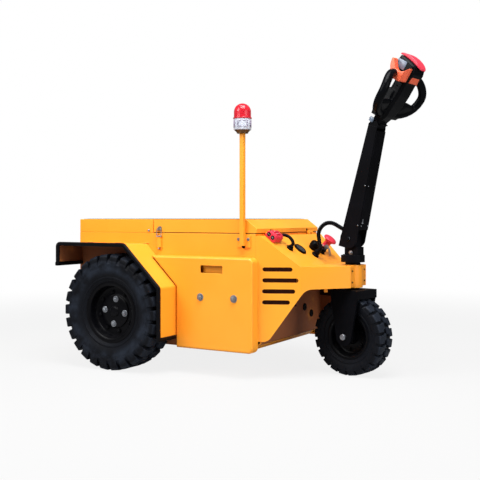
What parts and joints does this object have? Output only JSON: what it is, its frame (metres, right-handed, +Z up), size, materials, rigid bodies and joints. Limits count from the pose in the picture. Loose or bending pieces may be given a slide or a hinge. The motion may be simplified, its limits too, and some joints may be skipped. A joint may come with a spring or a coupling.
{
  "type": "walk-behind electric tow tractor",
  "caption": "Pedestrian-steered electric tug: battery box with hinged lid, driven rear wheels under fenders, steered front wheel, tilting tiller and rear tow coupling.",
  "frame": {"origin": "floor under the middle of the machine's overall length and width, wheels on the floor", "axes": "+X towards the tiller and the steered wheel, +Y to the machine's left, +Z up"},
  "size_m": [1.5384, 0.864, 1.2194],
  "materials": {
    "body_paint": "satin orange-yellow powder coat",
    "black_paint": "satin black powder coat",
    "edging_rubber": "matt black rubber",
    "mat_rubber": "ribbed grey-black rubber",
    "tyre_rubber": "worn-in black tyre rubber",
    "rim_paint": "satin black rim paint",
    "machine_grey": "painted casting",
    "battery_case": "moulded battery case",
    "zinc": "bright zinc-plated steel",
    "black_plastic": "fine-grained black plastic",
    "red_plastic": "moulded red plastic",
    "orange_plastic": "moulded orange-red plastic",
    "lens_red": "red beacon lens",
    "lens_clear": "clear grey beacon base"
  },
  "bodies": {
    "chassis": {"body_shell": "body_paint", "rear_cover": "body_paint", "front_bulkhead": "body_paint", "front_panel_right": "body_paint", "front_panel_left": "body_paint", "dashboard": "body_paint", "nose": "body_paint", "side_cover_right": "body_paint", "side_cover_left": "body_paint", "fender_right": "body_paint", "fender_left": "body_paint", "fender_edging_right": "edging_rubber", "fender_edging_left": "edging_rubber", "battery": "battery_case", "transaxle": "machine_grey", "tow_coupling": "black_paint", "beacon_mast": "body_paint", "beacon_base": "lens_clear", "beacon_lens": "lens_red", "power_connector": "red_plastic", "connector_cable": "edging_rubber", "dash_fittings": "black_plastic", "charge_gauge": "black_plastic", "stop_button": "red_plastic", "key": "zinc", "conduit": "edging_rubber", "latch_levers": "zinc", "lid_seal": "edging_rubber", "lid_hinges": "body_paint", "rear_mat": "mat_rubber"},
    "lid": {"lid": "body_paint", "lid_mat": "mat_rubber", "latch_loops": "zinc"},
    "steering": {"fork": "black_paint", "steering_head": "black_paint"},
    "tiller": {"tiller_arm": "black_paint", "arm_cover": "black_paint", "control_head": "black_plastic", "throttle_wings": "orange_plastic", "belly_button": "red_plastic"},
    "rear_wheel_right": {"rear_tyre_right": "tyre_rubber", "rear_rim_right": "rim_paint"},
    "rear_wheel_left": {"rear_tyre_left": "tyre_rubber", "rear_rim_left": "rim_paint"},
    "front_wheel": {"front_tyre": "tyre_rubber", "front_rim": "rim_paint"}
  },
  "joints": [
    {"name": "rear_right_spin", "type": "hinge", "parent": "chassis", "child": "rear_wheel_right", "pos_m": [-0.398, -0.359, 0.2325], "axis": [0, 1, 0], "continuous": true},
    {"name": "rear_left_spin", "type": "hinge", "parent": "chassis", "child": "rear_wheel_left", "pos_m": [-0.398, 0.359, 0.2325], "axis": [0, 1, 0], "continuous": true},
    {"name": "steer", "type": "hinge", "parent": "chassis", "child": "steering", "pos_m": [0.47, 0, 0.331], "axis": [0, 0, 1], "range_deg": [-70, 90], "deforming": ["conduit"]},
    {"name": "front_spin", "type": "hinge", "parent": "steering", "child": "front_wheel", "pos_m": [0.47, 0, 0.152], "axis": [0.1736, 0.9848, 0], "continuous": true},
    {"name": "tiller_tilt", "type": "hinge", "parent": "steering", "child": "tiller", "pos_m": [0.47, 0, 0.528], "axis": [0.1736, 0.9848, 0], "range_deg": [0, 65], "stiffness_Nm_per_rad": 30, "springref_deg": -28.65, "deforming": ["conduit"]},
    {"name": "lid_open", "type": "hinge", "parent": "chassis", "child": "lid", "pos_m": [0.1985, 0, 0.5495], "axis": [0, 1, 0], "range_deg": [0, 60]}
  ]
}
